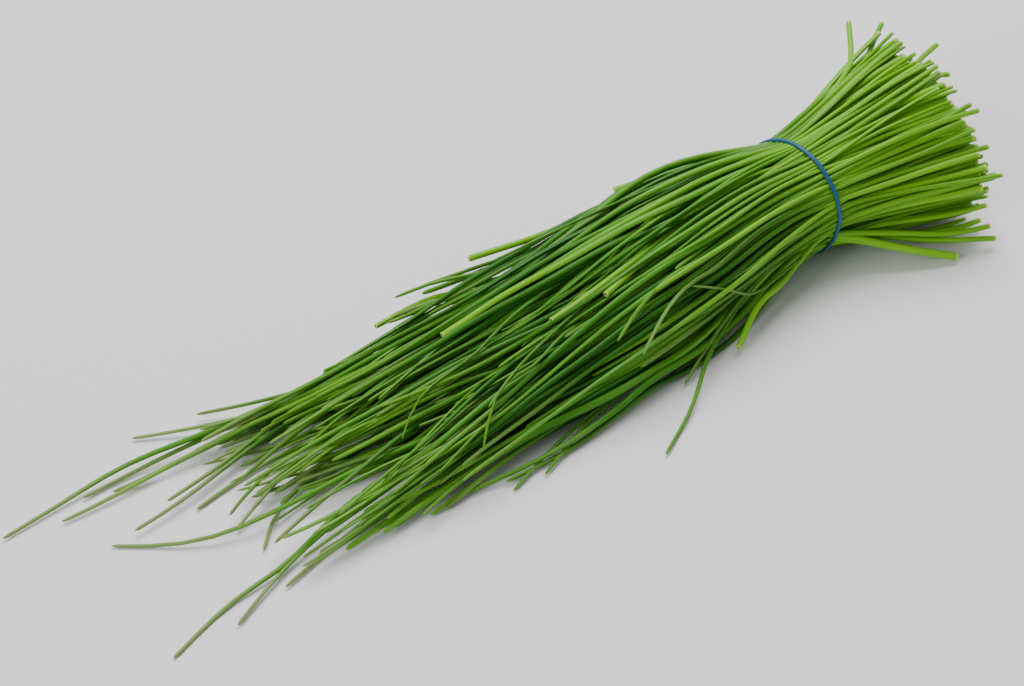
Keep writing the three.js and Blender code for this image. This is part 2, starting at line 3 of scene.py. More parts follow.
import bpy
import numpy as np
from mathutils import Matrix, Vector


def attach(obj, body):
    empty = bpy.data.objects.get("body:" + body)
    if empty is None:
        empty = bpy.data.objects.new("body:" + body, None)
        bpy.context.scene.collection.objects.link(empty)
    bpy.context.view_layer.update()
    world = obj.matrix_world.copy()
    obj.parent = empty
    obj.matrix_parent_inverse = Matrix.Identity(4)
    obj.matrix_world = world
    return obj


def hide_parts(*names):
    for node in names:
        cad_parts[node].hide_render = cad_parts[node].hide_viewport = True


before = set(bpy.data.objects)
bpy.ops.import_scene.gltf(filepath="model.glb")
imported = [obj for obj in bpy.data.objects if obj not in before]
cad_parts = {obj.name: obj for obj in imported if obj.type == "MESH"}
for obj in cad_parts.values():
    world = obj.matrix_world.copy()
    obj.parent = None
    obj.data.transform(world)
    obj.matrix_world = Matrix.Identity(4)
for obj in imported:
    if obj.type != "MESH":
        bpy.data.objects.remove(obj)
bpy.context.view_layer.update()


# ---- How the leaves lie ----
# Chive leaves, each a thin round stalk with a cut end and a fine tip, are gathered side by side, cut
# to one length, tied and laid down. The band presses them together in a round bundle, and from there
# they fan out and settle on one another and on the surface. Lengths are in millimetres.

LEAF_COUNT = 480
LEAF_RADIUS = 0.77
RADIUS_SPREAD = 0.17  # one standard deviation, as a share of the radius
RADIUS_RANGE = (0.6, 1.4)  # thinnest and thickest leaf, as shares of LEAF_RADIUS
TAPER_LENGTH = 75  # over which a leaf narrows towards its tip
TAPER_END = 0.58  # share of its radius that is left just before the tip
SQUEEZE = 0.95  # share of its radius that a leaf keeps under the band
LEAF_GAP = 0.1  # kept between leaves

# X of the tips, and of the cut ends with what is added to it at the bunch's far side and its top.
TIP_MEAN, TIP_SPREAD, TIP_FURTHEST, TIP_NEAREST = -139, 34, -204, -58
CUT_MEAN, CUT_SPREAD, CUT_FAR, CUT_TOP = 59.2, 2.3, 6, -2
CUT_RANGE = (-2, 1.2)  # the least and the most that a draw counts for
BLUNT_SHARE = 0.08  # leaves whose tip was cut off too
BLUNT_LIMIT = -115  # none of them reaches further than this

BAND_RADIUS = 21  # outside
BAND_THICKNESS = 1.1
BAND_WIDTH = 1.5  # along the leaves
BAND_YAW = math.radians(8)  # it sits slightly askew
BAND_FLAT = 0.35  # depth of its underside that is pressed flat
BAND_GAP = 0.05  # between the band and the leaves
BAND_MIDDLE = BAND_RADIUS - BAND_FLAT  # how high its middle lies

# Each station, a plane across the bunch: its X, the bunch's section there (middle in Y, half width,
# underside and top), and how far the leaves have wandered from their places under the band.
STATIONS = np.array([
    (82, 2.5, 40, 0, 50, 0.4),
    (40, 2, 29.5, 0, 45, 0.22),
    (0, 0, 19.9, 1.6, 41.2, 0),
    (-42, 1.8, 23.2, 0, 40.5, 0.08),
    (-85, -4.5, 32.5, 0, 30, 0.2),
    (-130, -8, 28.5, 0, 20, 0.36),
    (-175, -9, 25.5, 0, 13, 0.5),
    (-220, -6, 29, 0, 7, 0.6),
    (-265, -9, 27, 0, 4, 0.65),
])
STATION_X, MIDDLE, HALF, LOW, HIGH, WANDER = STATIONS.T
TIE = 2  # the station at the band
WANDER_SHARE = 0.6  # how far a leaf wanders, as a share of WANDER
WEAVE_SHARE, WEAVE_LENGTH = 0.6, 45  # how far it weaves to and fro on its way, and how fast
CROSSING_SHARE, CROSSING = 0.12, 2.0  # leaves that stray over the others, and how much further
EDGE = 0.985  # how far out a leaf may lie, as a share of the way to the section's outline
CLUMPS = 18  # that the leaves cling together in
CLING = np.array((0.35, 0.15, 0, 0.05, 0.2, 0.45, 0.5, 0.5, 0.5))  # how much, at each station
CUT_CLUMPS_AT, TIP_CLUMPS_AT = 0, 6  # the stations at which a leaf's nearest clump is its own

# The wisps that the longest leaves end in, from the near side to the far side: the share of those
# leaves up to and with this wisp, and its way in X and Y.
WISP_START = -132  # leaves that reach further than this belong to a wisp
WISPS = [
    (0.22, ((-130, -31), (-158, -22), (-183, -22), (-206, -28), (-225, -34), (-265, -48))),
    (0.38, ((-130, -17), (-155, -13), (-182, -9), (-200, -8), (-218, -5), (-265, 10))),
    (0.50, ((-130, 0), (-165, 5), (-183, 0), (-195, -2), (-208, -7), (-265, -20))),
    (0.68, ((-130, 6), (-168, 10), (-190, 14), (-213, 12), (-231, 6.5), (-265, -5))),
    (1.01, ((-130, 9), (-158, 14), (-175, 19), (-198, 24), (-215, 27), (-265, 23.5))),
]
WISP_CLING = np.array((0, 0, 0, 0, 0, 0.55, 0.9, 1, 1))  # how much, at each station
WISP_WIDTH = 2.6

# Leaves that stand out: where each lies under the band, across and up as shares of its radius, the
# points that it passes on the way to its tip or cut end, in X, Y and, where it is held up, Z, and
# its kind where it isn't a plain one.
GUIDED = [
    # The tips of the wisps, from the far side to the near side.
    (
        (0.72, 0.3),
        ((-158.5, 18, 11), (-198.5, 25, 6), (-215.5, 28, 4), (-234.5, 28, 2), (-263.5, 23.5, 1)),
    ),
    ((0.66, 0.2), ((-158.5, 18, 10), (-198.5, 25, 4), (-215.5, 26.5, 2), (-237.5, 26, 1))),
    ((0.7, 0.15), ((-158.5, 17, 11), (-198.5, 21, 4), (-229.5, 23, 1))),
    ((0.62, 0.1), ((-158.5, 17, 9), (-196.5, 22, 4), (-226.5, 20.5, 2), (-247, 20, 1))),
    ((0.8, -0.1), ((-151.5, 20.5, 8), (-178, 29.5, 4), (-194, 37, 2))),
    ((0.8, 0.1), ((-151.5, 19.5, 8), (-186, 26, 4), (-200, 33, 2), (-214, 40, 1))),
    ((0.4, 0), ((-151.5, 15), (-176.5, 17), (-201.5, 12), (-219.5, 9))),
    ((0.35, 0.2), ((-151.5, 11), (-176.5, 15), (-209.5, 8), (-232.5, 4))),
    ((0.3, -0.2), ((-151.5, 7), (-192.5, 8), (-213.5, 3))),
    (
        (-0.2, 0.1),
        (
            (-154.5, -17.5, 12), (-182.5, -14, 6), (-200.5, -13, 4),
            (-219.5, -9, 2), (-230, -3, 1), (-240, 4, 1),
        ),
    ),
    (
        (-0.68, -0.1),
        (
            (-158.5, -23.5, 10), (-183.5, -24.5, 5), (-206, -31, 2),
            (-224.5, -34.5, 1), (-247, -43, 1),
        ),
    ),
    ((-0.72, -0.36), ((-158.5, -24, 7), (-183.5, -25.5, 4), (-212.5, -35, 2), (-227, -42.5, 1))),
    ((-0.8, -0.2), ((-151.5, -27), (-171.5, -27.5), (-209, -38))),
    # Tips along the near edge.
    ((-0.78, -0.5), ((-116.5, -31, 7), (-161, -37, 1))),
    ((-0.82, -0.4), ((-112.5, -31, 8), (-156, -37, 1))),
    ((-0.7, -0.6), ((-76.5, -28, 8), (-109, -33, 4), (-136, -42, 1))),
    ((-0.6, -0.7), ((-76.5, -27, 6), (-97.5, -31, 4), (-125, -41.5, 1))),
    ((-0.75, -0.62), ((-66, -29, 7), (-84, -33, 4), (-109, -37, 2), (-136, -38, 2))),
    (
        (-0.86, -0.42),
        ((-66, -29.5, 10), (-84, -33.5, 7), (-97.5, -35.5, 5), (-125, -37, 3), (-150, -35, 2)),
    ),
    ((-0.62, -0.76), ((-66, -27, 4), (-84, -32, 2), (-97.5, -35, 2), (-119, -38, 2))),
    # Tips in the gaps between the wisps.
    ((-0.4, -0.1), ((-158.5, -17), (-183.5, -20), (-205, -25.5))),
    ((0.2, -0.1), ((-151.5, 7), (-193.5, 1), (-209.5, -9))),
    ((0.05, -0.3), ((-151.5, 3), (-187.5, -2), (-208.5, -11))),
    ((-0.15, -0.4), ((-151.5, -3), (-181.5, -6), (-196.5, -12), (-206.5, -22))),
    # Short leaves that stand off the near side, low down and then higher up.
    (
        (-0.9, 0),
        ((-33.5, -18, 12), (-55.5, -29, 4), (-73.5, -44, 2), (-81.5, -49, 1), (-91.5, -55, 1)),
    ),
    (
        (-0.95, 0.02),
        ((-21, -21.8, 17), (-30.5, -23.1, 14), (-36.5, -25.8, 8), (-46, -31.2, 3)),
        "blunt",
    ),
    ((-0.87, 0.25), ((-33.5, -20, 14), (-53.5, -27, 6), (-68.5, -34, 2))),
    ((-0.85, -0.3), ((-16.5, -19, 9), (-34.5, -24, 13), (-45.5, -26, 21), (-59.5, -24, 28)), "thin"),
    (
        (-0.3, 0.5),
        ((-91.5, -13, 32), (-113.5, -23, 25), (-129.5, -25, 22), (-141.5, -35, 14)),
        "thin",
    ),
    ((0, 0.5), ((-101.5, -4, 31), (-133.5, -10, 23), (-147.5, -12, 20), (-159.5, -21, 17)), "thin"),
    ((-0.8, 0.45), ((-30.5, -18, 31), (-49.5, -22, 29), (-65.5, -25, 28), (-84.5, -34, 21))),
    ((-0.7, 0.6), ((-36.5, -17, 33), (-56.5, -19, 32), (-76.5, -23, 29), (-90.5, -29, 26))),
    # Short leaves that stand off the far side.
    ((0.8, 0.5), ((-28, 19.5, 31.5), (-51.4, 24.6, 30)), "blunt"),
    ((0.92, 0.15), ((-62, 25.5, 22), (-86.5, 28, 23), (-101.5, 31, 22)), "blunt"),
    ((0.85, -0.2), ((-42, 24, 13), (-86.5, 29, 18), (-118.5, 31, 19))),
    ((0.7, -0.4), ((-101.5, 24.5, 21), (-118, 27, 18), (-137, 28, 15)), "blunt"),
    ((0.84, 0.32), ((-93, 26.5, 24), (-110, 28, 22), (-127.5, 32, 18))),
    ((0.76, 0.12), ((-93, 23, 24), (-115, 21.5, 21), (-134.5, 23, 16))),
    ((0.66, -0.16), ((-93, 23, 20), (-114, 22, 18), (-139.5, 23, 13))),
    # Blunt ones on top.
    ((-0.35, 0.85), ((-43.5, -6, 38), (-84.5, -15, 31)), "blunt"),
    ((-0.3, 0.7), ((-43.5, -5, 36), (-86.5, -11, 30), (-102.5, -13, 28)), "blunt"),
    ((0.15, 0.8), ((-86.5, 7, 30), (-128.5, 5, 23)), "blunt"),
    # Cut ends, at the near side and then at the far side.
    ((-0.93, -0.2), ((8, -20.8, 12.5), (22, -27.3, 8), (39, -35.3, 2)), "wide"),
    ((-0.9, -0.35), ((8, -19.5, 11), (22, -25.5, 6.5), (36, -32, 2)), "wide"),
    ((-0.8, -0.5), ((18.5, -22, 7), (38, -31, 6), (54, -36, 3))),
    ((-0.88, -0.05), ((18.5, -23, 14), (38, -30, 8), (53, -34, 7))),
    ((0.6, 0.75), ((34, 19, 36), (48.5, 31, 36), (58, 44, 40))),
    ((0.85, 0.4), ((36, 19, 35), (52, 28.5, 36), (69, 39.5, 38))),
    ((0.5, 0.5), ((48.5, 12, 36), (79.5, 24, 34))),
    ((0.4, 0.7), ((48.5, 12, 38), (67.5, 5, 37))),
    # Two thick ones at the far side.
    ((0.93, 0), ((-84, 26, 18.5), (-101.5, 28.5, 17), (-109.5, 31, 15.5), (-117, 33.5, 14)), "wide"),
    (
        (0.7, 0),
        ((-96.5, 19, 21), (-105.5, 21.5, 20), (-118.5, 24.5, 18), (-130.5, 27.5, 15.5)),
        "wide",
    ),
]
GUIDED_RADIUS = 0.9
KIND_RADIUS = {"thin": 0.6, "blunt": 0.95, "wide": 1.25}
FIRM_LENGTH, FIRM_BEYOND = 45, -150  # a route is held firm near its end, and all past this X
LOOSE_HOLD = 0.3  # how firmly it is held elsewhere, as a share
BEYOND = 8  # how far a route is carried on past its end
FAN_HOLD = 0.4  # how firmly every leaf is held where the cut ends begin to fan out


def seeded(state):
    """Numbers from 0 to 1 that are the same on each run."""
    while True:
        state = (state * 1664525 + 1013904223) % 4294967296
        yield state / 4294967296


SEED = 7
TINY = 1e-9  # keeps a division from failing

grow = seeded(SEED)


def draw():
    return next(grow)


def spread():
    """A draw round 0 with a standard deviation of 1."""
    return (draw() + draw() + draw() + draw() - 2) * math.sqrt(3)


def fold_back(value, least, most):
    """The value, mirrored at the limit that it passes."""
    if value < least:
        return 2 * least - value
    return 2 * most - value if value > most else value


def sunflower(i, count):
    """The place of seed i of an evenly filled disc."""
    reach, angle = math.sqrt((i + 0.5) / count), i * math.pi * (3 - math.sqrt(5))
    return reach * math.cos(angle), reach * math.sin(angle)


places = np.array([sunflower(i, LEAF_COUNT) for i in range(LEAF_COUNT)])
leaf_radius = np.empty(LEAF_COUNT)
tip_x = np.empty(LEAF_COUNT)
cut_x = np.empty(LEAF_COUNT)
blunt = np.zeros(LEAF_COUNT, bool)
shares = np.empty((len(STATION_X), LEAF_COUNT, 2))
for i in range(LEAF_COUNT):
    leaf_radius[i] = LEAF_RADIUS * np.clip(1 + RADIUS_SPREAD * spread(), *RADIUS_RANGE)
    tip_x[i] = fold_back(TIP_MEAN + TIP_SPREAD * spread(), TIP_FURTHEST, TIP_NEAREST)
    cut_x[i] = CUT_MEAN + CUT_SPREAD * np.clip(spread(), *CUT_RANGE)
    blunt[i] = draw() < BLUNT_SHARE and tip_x[i] > BLUNT_LIMIT
    drift, weave, flare = (np.array([spread(), spread()]) for _ in range(3))
    if draw() < CROSSING_SHARE:
        drift, weave, flare = CROSSING * drift, CROSSING * weave, CROSSING * flare
    phase = 2 * math.pi * draw()
    wave = WEAVE_SHARE * np.sin(STATION_X / WEAVE_LENGTH + phase)
    strays = np.where((STATION_X > 0)[:, None], flare, drift + weave * wave[:, None])
    share = places[i] + WANDER_SHARE * WANDER[:, None] * strays
    out = np.maximum(1, np.hypot(share[:, 0], share[:, 1]) / EDGE)
    shares[:, i] = share / out[:, None]

# The lower half of the cut ends' fan is squarer than an ellipse, because it lies on the surface.
fan = shares[:TIE]
squareness = np.hypot(fan[..., 0], fan[..., 1]) / ((fan**4).sum(2) ** 0.25 + TINY)
fan *= np.where(fan[..., 1] < 0, squareness, 1)[..., None]

clumps = np.array([sunflower(i, CLUMPS) for i in range(CLUMPS)])
for side, at in ((slice(0, TIE), CUT_CLUMPS_AT), (slice(TIE, None), TIP_CLUMPS_AT)):
    away = ((shares[at][:, None] - clumps) ** 2).sum(2)
    clump = clumps[away.argmin(1)]
    shares[side] += CLING[side, None, None] * (clump - shares[side])
cut_x += CUT_FAR * shares[0, :, 0] + CUT_TOP * shares[0, :, 1]

middle = np.stack([MIDDLE, (LOW + HIGH) / 2], 1)[:, None]
half = np.stack([HALF, (HIGH - LOW) / 2], 1)[:, None]
aim = middle + (half - leaf_radius[None, :, None]) * shares

long_leaves = np.flatnonzero(tip_x < WISP_START)
long_leaves = long_leaves[np.argsort(shares[TIP_CLUMPS_AT, long_leaves, 0], kind="stable")]
for rank, i in enumerate(long_leaves):
    way_of_wisp = next(line for upto, line in WISPS if rank / len(long_leaves) < upto)
    x, y = np.array(way_of_wisp, float).T
    wisp_y = np.interp(-STATION_X, -x, y) + WISP_WIDTH * spread()
    aim[:, i, 0] += WISP_CLING * (wisp_y - aim[:, i, 0])

routes = {}
for place, route, *kind in GUIDED:
    away = ((places - place) ** 2).sum(1)
    away[list(routes)] = np.inf
    i = int(np.argmin(away))
    routes[i] = np.array(route, float)
    blunt[i] = "blunt" in kind
    leaf_radius[i] = KIND_RADIUS[kind[0]] if kind else GUIDED_RADIUS
    end = route[-1][0]
    if end < 0:
        tip_x[i] = end
    else:
        cut_x[i] = end

# How firmly each leaf is held at each station, across and up.
hold = np.zeros((len(STATION_X), LEAF_COUNT, 2))
for i, route in routes.items():
    first, end = route[0, 0], route[-1, 0]
    for k, x in enumerate(STATION_X):
        if x * first <= 0 or abs(x) < abs(first) - 1:
            continue
        x = max(x, end - BEYOND) if end < 0 else min(x, end + BEYOND)
        j = min(max(int(np.sum(np.abs(route[:, 0]) < abs(x))), 1), len(route) - 1)
        a, b = route[j - 1], route[j]
        point = a + (b - a) * (x - a[0]) / (b[0] - a[0])
        aim[k, i, : len(point) - 1] = point[1:]
        firm = x > 0 or x - tip_x[i] < FIRM_LENGTH or x < FIRM_BEYOND
        hold[k, i, : len(point) - 1] = 1 if firm else LOOSE_HOLD
hold[TIE - 1] = np.maximum(hold[TIE - 1], FAN_HOLD)

SETTLE_ROUNDS = 600
PULL, PULL_UNTIL = 0.04, 0.6  # towards where a leaf aims, up to this share of the rounds
WEIGHT, WEIGHT_UNTIL = 0.01, 0.8  # how far a leaf sinks in each round
# How fast a leaf straightens, the share of it that is left after a while, and when it stops.
STIFFNESS, SOFTENED, SOFT_AFTER, LIMP_AFTER = 0.1, 0.1, 0.6, 0.8
HOLD = 0.25  # how fast a held leaf comes back to where it aims
PUSH = 1.7  # times what would just part two leaves
REACH = 1.2  # leaves this near each other may meet before the pairs are looked up again
LOOK_AGAIN = 10  # rounds between two such look-ups
APART_FOR_GOOD = -9  # the overlap of leaves that never lie side by side

drawn_in = TAPER_END + (1 - TAPER_END) * (STATION_X[:, None] - tip_x) / TAPER_LENGTH
radii = leaf_radius * np.where(blunt, 1, np.clip(drawn_in, TAPER_END, 1))
radii[TIE] = leaf_radius * SQUEEZE
stretch = STATION_X[:-1] - STATION_X[1:]
starts = np.clip((STATION_X[:-1, None] - cut_x) / stretch[:, None], 0, 1)
stops = np.clip((STATION_X[:-1, None] - tip_x) / stretch[:, None], 0, 1)
every_pair = np.triu_indices(LEAF_COUNT, 1)
each = np.arange(LEAF_COUNT)


def meetings(way, slant, k, i, j):
    """Where leaves i and j come nearest past station k, which way they part, and their overlap."""
    low = np.maximum(starts[k, i], starts[k, j])
    high = np.minimum(stops[k, i], stops[k, j])
    here = way[k, i] - way[k, j]
    change = way[k + 1, i] - way[k + 1, j] - here
    t = -(here * change).sum(1) / ((change * change).sum(1) + TINY)
    t = np.clip(t, low, np.maximum(high, low))
    apart = here + change * t[:, None]
    gap = np.hypot(apart[:, 0], apart[:, 1]) + TINY
    room = LEAF_GAP
    for leaf in (i, j):
        room = room + (radii[k, leaf] * (1 - t) + radii[k + 1, leaf] * t) * slant[k, leaf]
    return t, apart / gap[:, None], np.where(high > low, room - gap, APART_FOR_GOOD)


def hold_in_band(way, slant):
    """Keeps each leaf inside the band, where it passes the band's own plane."""
    x = -math.tan(BAND_YAW) * way[TIE, :, 0]
    beside = np.where(x > 0, TIE - 1, TIE + 1)
    share = (x / STATION_X[beside])[:, None]
    at = way[TIE] + share * (way[beside, each] - way[TIE])
    across, up = at[:, 0] / math.cos(BAND_YAW), at[:, 1] - BAND_MIDDLE
    lean = np.maximum(slant[TIE - 1], slant[TIE])
    reach = leaf_radius * SQUEEZE * lean + BAND_WIDTH / 2 * np.sqrt(lean**2 - 1)
    room = BAND_RADIUS - BAND_THICKNESS - BAND_GAP - reach
    back = np.minimum(0, room / np.hypot(across, up) - 1)
    way[TIE, :, 0] += back * across * math.cos(BAND_YAW)
    way[TIE, :, 1] += back * up


def settle(way):
    """Lets the leaves sink and straighten, and pushes apart those that meet, until they lie clear."""
    pairs = {}
    for turn in range(SETTLE_ROUNDS):
        progress = turn / SETTLE_ROUNDS
        way += PULL * max(0, 1 - progress / PULL_UNTIL) * (aim - way)
        if progress < WEIGHT_UNTIL:
            way[:TIE, :, 1] -= WEIGHT
            way[TIE + 1 :, :, 1] -= WEIGHT
        if progress < LIMP_AFTER:
            # Even is where each station would lie on the smoothest curve through those beside it.
            even = way.copy()
            even[1] = (way[0] + 2 * way[1] + way[2]) / 4
            even[-2] = (way[-3] + 2 * way[-2] + way[-1]) / 4
            even[2:-2] = (4 * (way[1:-3] + way[3:-1]) - way[:-4] - way[4:]) / 6
            way += STIFFNESS * (1 if progress < SOFT_AFTER else SOFTENED) * (even - way)
        way += HOLD * hold * (aim - way)
        step = way[1:] - way[:-1]
        slant = np.hypot(1, np.hypot(step[..., 0], step[..., 1]) / stretch[:, None])
        push = np.zeros_like(way)
        pushes = np.zeros_like(radii)
        # Leaves that overlap past a station part there and at the next one, each by its share.
        for k in range(len(stretch)):
            if turn % LOOK_AGAIN == 0:
                near = meetings(way, slant, k, *every_pair)[2] > -REACH
                pairs[k] = every_pair[0][near], every_pair[1][near]
            t, apart, overlap = meetings(way, slant, k, *pairs[k])
            hit = overlap > 0
            i, j = pairs[k][0][hit], pairs[k][1][hit]
            t, apart, overlap = t[hit], apart[hit], overlap[hit]
            part = apart * (overlap / 2 / ((1 - t) ** 2 + t**2))[:, None]
            for station, share in ((k, 1 - t), (k + 1, t)):
                for sign, leaf in ((1, i), (-1, j)):
                    pushes[station] += np.bincount(leaf, share, LEAF_COUNT)
                    for axis in (0, 1):
                        moved = np.bincount(leaf, part[:, axis] * share, LEAF_COUNT)
                        push[station, :, axis] += sign * moved
        way += PUSH / np.maximum(1, pushes)[..., None] * push
        way[..., 1] = np.maximum(radii, way[..., 1])
        hold_in_band(way, slant)
    return way


way = settle(aim.copy())


# ---- The leaves ----
# A chive leaf is a hollow round tube, open where it was cut and drawn out to a fine tip. One is
# modelled straight, then a copy for each leaf is bent along its way through the bunch. The leaves
# that lie side by side under the band make one piece.

MM = 0.001
SIDES = 8
RINGS = 38
END_STEPS = [0.014, 0.009, 0.004, 0.002]  # the last rings lie close together, to round the tip
END_FACE = 1e-4  # a face whose middle is this near an end closes it
TIP_ROUNDING = 1.6
WALL = 0.3  # of the cut end, as a share of the radius
HOLLOW = 0.02  # depth of the open end, as a share of the leaf's length
CURL_ASIDE, CURL_UP, CURL_LENGTH = 3.0, 1.5, 55  # how far a tip curls, over its last part
# A guided leaf goes over to its route within this length, or this share of a shorter route, slowly
# at first.
HAND_OVER, HAND_OVER_SHARE, HAND_OVER_POWER = 25, 0.7, 1.5
RIPPLE = ((0.3, 31), (0.12, 13))  # a leaf's own small bends: how deep and how long
FLATNESS = 0.14  # a leaf is a little wider than it is thick, here and there
FREE_LENGTH = 30  # away from the band, over which a leaf comes free to bend and flatten
SQUEEZE_LENGTH = 12  # to either side of the band, over which a leaf is squeezed
TWIST_LENGTH = 60  # over which a leaf turns by about a radian
WAIST, WAIST_LENGTH = 0.035, 9  # the band draws the leaves in
SWELL, SWELL_UP = 0.015, (0.5, 0.5)  # behind it they swell out again, and move aside and up
SWELL_AT, SWELL_LENGTH = -22, 18
LOCKS_ACROSS = 4
LOCKS_UP = 4
SMOOTH_ANGLE = math.radians(50)


def deselect():
    bpy.ops.object.select_all(action="DESELECT")


def only(piece):
    deselect()
    bpy.context.view_layer.objects.active = piece
    piece.select_set(True)


def select_faces(piece, wanted):
    """In edit mode, selects the faces for which wanted(face) is true and nothing else."""
    bpy.ops.object.mode_set(mode="OBJECT")
    for part in (*piece.data.vertices, *piece.data.edges):
        part.select = False
    for face in piece.data.polygons:
        face.select = wanted(face)
    bpy.ops.object.mode_set(mode="EDIT")


def closes(face, end):
    return len(face.vertices) == SIDES and abs(face.center.x - end) < END_FACE


def hollow_out(piece, end, way_in):
    """Opens one end of the straight leaf: the wall's rim is inset and the rest pushed in."""
    select_faces(piece, lambda face: closes(face, end))
    bpy.ops.mesh.inset(thickness=WALL)
    bpy.ops.mesh.extrude_region_move(TRANSFORM_OT_translate={"value": (way_in, 0, 0)})


def straight_leaf(open_tip):
    """A leaf of length 1 and radius 1 along X, from its cut end at 0 to its tip at 1."""
    deselect()
    bpy.ops.mesh.primitive_circle_add(
        vertices=SIDES, radius=1, fill_type="NGON", rotation=(0, math.pi / 2, 0)
    )
    leaf = bpy.context.object
    bpy.ops.object.transform_apply(location=False, rotation=True, scale=False)
    bpy.ops.object.mode_set(mode="EDIT")
    bpy.ops.mesh.select_all(action="SELECT")
    for step in [(1 - sum(END_STEPS)) / RINGS] * RINGS + END_STEPS:
        bpy.ops.mesh.extrude_region_move(TRANSFORM_OT_translate={"value": (step, 0, 0)})
    bpy.ops.mesh.select_all(action="SELECT")
    bpy.ops.mesh.normals_make_consistent(inside=False)
    hollow_out(leaf, 0, HOLLOW)
    if open_tip:
        hollow_out(leaf, 1, -HOLLOW)
    else:
        select_faces(leaf, lambda face: closes(face, 1))
        bpy.ops.mesh.merge(type="CENTER")
    bpy.ops.object.mode_set(mode="OBJECT")
    return leaf


def curve_through(x, values):
    """A natural cubic spline through values at x, as a function."""
    order = np.argsort(x)
    x, values = x[order], values[order]
    h = np.diff(x)
    rise = np.diff(values, axis=0) / h[:, None]
    n = len(x)
    system = np.eye(n)
    right = np.zeros((n, values.shape[1]))
    for k in range(1, n - 1):
        system[k, k - 1 : k + 2] = h[k - 1], 2 * (h[k - 1] + h[k]), h[k]
        right[k] = 6 * (rise[k] - rise[k - 1])
    bend = np.linalg.solve(system, right)

    def at(q):
        k = np.clip(np.searchsorted(x, q) - 1, 0, n - 2)
        a, b = (x[k + 1] - q)[:, None], (q - x[k])[:, None]
        w = h[k][:, None]
        cubic = (bend[k] * a**3 + bend[k + 1] * b**3) / (6 * w)
        before, after = values[k] / w - bend[k] * w / 6, values[k + 1] / w - bend[k + 1] * w / 6
        return cubic + before * a + after * b

    return at


def held_way(route, main):
    """The way of a guided leaf, which goes over from its main way to its route."""
    along = curve_through(route[:, 0], route[:, 1:])
    side, reach = np.sign(route[0, 0]), abs(route[-1, 0] - route[0, 0])

    def at(x):
        points, held = main(x), along(x)
        share = (x - route[0, 0]) * side / min(HAND_OVER, HAND_OVER_SHARE * reach)
        share = np.clip(share, 0, 1)[:, None] ** HAND_OVER_POWER
        width = held.shape[1]
        points[:, :width] += share * (held - points[:, :width])
        return points

    return at


def own_path(i):
    """Leaf i's way, with its own small bends, drawn in at the band, as a function of x."""
    main = curve_through(STATION_X, way[:, i])
    if i in routes:
        main = held_way(routes[i], main)
    phases = 2 * math.pi * np.array([[draw(), draw()] for _ in RIPPLE])
    aside, lift = CURL_ASIDE * spread(), CURL_UP * draw()

    def at(x):
        points = main(x)
        for (depth, length), phase in zip(RIPPLE, phases):
            free = np.tanh(np.abs(x) / FREE_LENGTH)[:, None]
            points = points + depth * free * np.sin(x[:, None] / length * 2 + phase)
        curled = np.clip(1 - (x - tip_x[i]) / CURL_LENGTH, 0, 2) ** 2
        if i not in routes:
            points = points + curled[:, None] * (aside, lift)
        waist = WAIST * np.exp(-((x / WAIST_LENGTH) ** 2))
        centre = np.array((0, BAND_MIDDLE))
        points = points + waist[:, None] * (centre - points)
        swell = np.exp(-(((x - SWELL_AT) / SWELL_LENGTH) ** 2))[:, None]
        return points + swell * (SWELL * (points - centre) + SWELL_UP)

    return at


def bend_leaf(i, shape):
    """The straight leaf's points, bent along leaf i's way and given its thickness, in metres."""
    along = shape[:, 0]
    x = cut_x[i] + (tip_x[i] - cut_x[i]) * along
    path = own_path(i)
    ahead = np.stack([np.full_like(x, -1), *(path(x - 1) - path(x + 1)).T / 2], 1)
    ahead /= np.linalg.norm(ahead, axis=1)[:, None]
    side = np.cross((0, 0, 1), ahead)
    side /= np.linalg.norm(side, axis=1)[:, None]
    up = np.cross(ahead, side)
    to_tip = x - tip_x[i]
    taper = np.clip(TAPER_END + (1 - TAPER_END) * to_tip / TAPER_LENGTH, TAPER_END, 1)
    taper = 1 if blunt[i] else taper * np.sqrt(np.clip(to_tip / TIP_ROUNDING, 0, 1))
    squeeze = 1 - (1 - SQUEEZE) * np.exp(-((x / SQUEEZE_LENGTH) ** 2))
    thick = leaf_radius[i] * taper * squeeze
    centre = np.stack([x, *path(x).T], 1)
    centre[:, 2] = np.maximum(centre[:, 2], thick)
    twist = 2 * math.pi * draw() + x / TWIST_LENGTH * spread()
    c, s = np.cos(twist), np.sin(twist)
    flat = 1 + FLATNESS * np.tanh(np.abs(x) / FREE_LENGTH) * draw()
    a, b = shape[:, 1] * c - shape[:, 2] * s, shape[:, 1] * s + shape[:, 2] * c
    a, b = a * flat, b / flat
    across, above = (a * c + b * s)[:, None], (b * c - a * s)[:, None]
    points = centre + thick[:, None] * (across * side + above * up)
    points[:, 2] = np.maximum(points[:, 2], 0)
    return points * MM


locks = []
for column in np.array_split(np.argsort(way[TIE, :, 0], kind="stable"), LOCKS_ACROSS):
    locks += np.array_split(column[np.argsort(way[TIE, column, 1], kind="stable")], LOCKS_UP)


